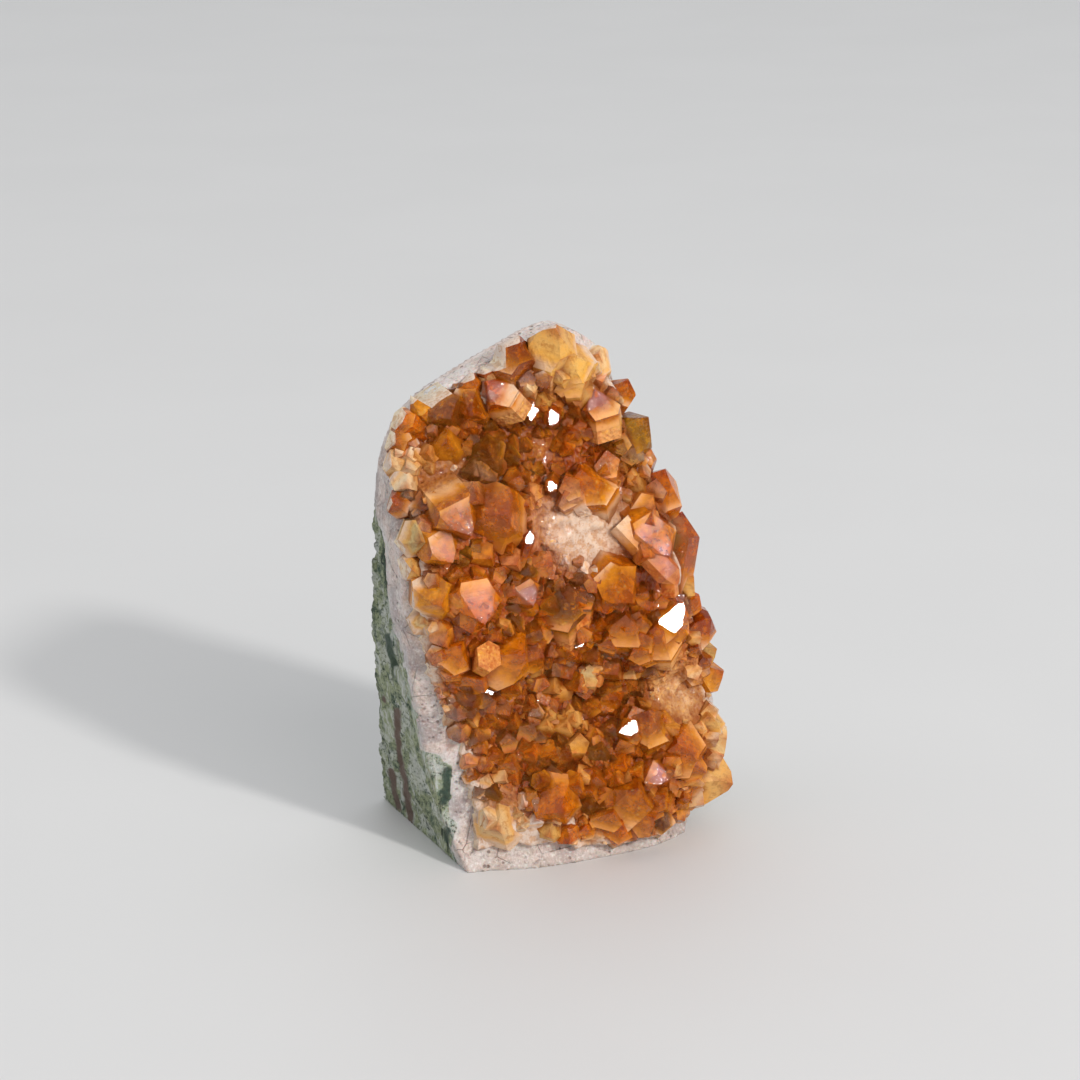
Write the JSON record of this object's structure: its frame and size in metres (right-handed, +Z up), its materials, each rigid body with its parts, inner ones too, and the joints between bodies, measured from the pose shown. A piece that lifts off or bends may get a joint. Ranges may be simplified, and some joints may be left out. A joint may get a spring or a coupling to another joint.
{
  "type": "citrine cluster",
  "caption": "Upright crystal specimen: golden to dark amber six-sided crystals grown on milky quartz over green rock, standing on a flat sawn base.",
  "frame": {"origin": "middle of the bounding box in X and Y, at the sawn base", "axes": "+Z up through the peak, crystals facing -Y and a little to +X, basalt back towards +Y"},
  "size_m": [0.0694, 0.0667, 0.1038],
  "materials": {
    "citrine": "clear to milky golden and dark amber quartz, vitreous faces",
    "milky_quartz": "pinkish white quartz, sawn and polished edge, a little see-through",
    "green_basalt": "rough green and brown rock"
  },
  "bodies": {
    "root": {"citrine_crystals": "citrine", "milky_quartz_bed": "milky_quartz", "green_basalt_matrix": "green_basalt"}
  },
  "joints": []
}
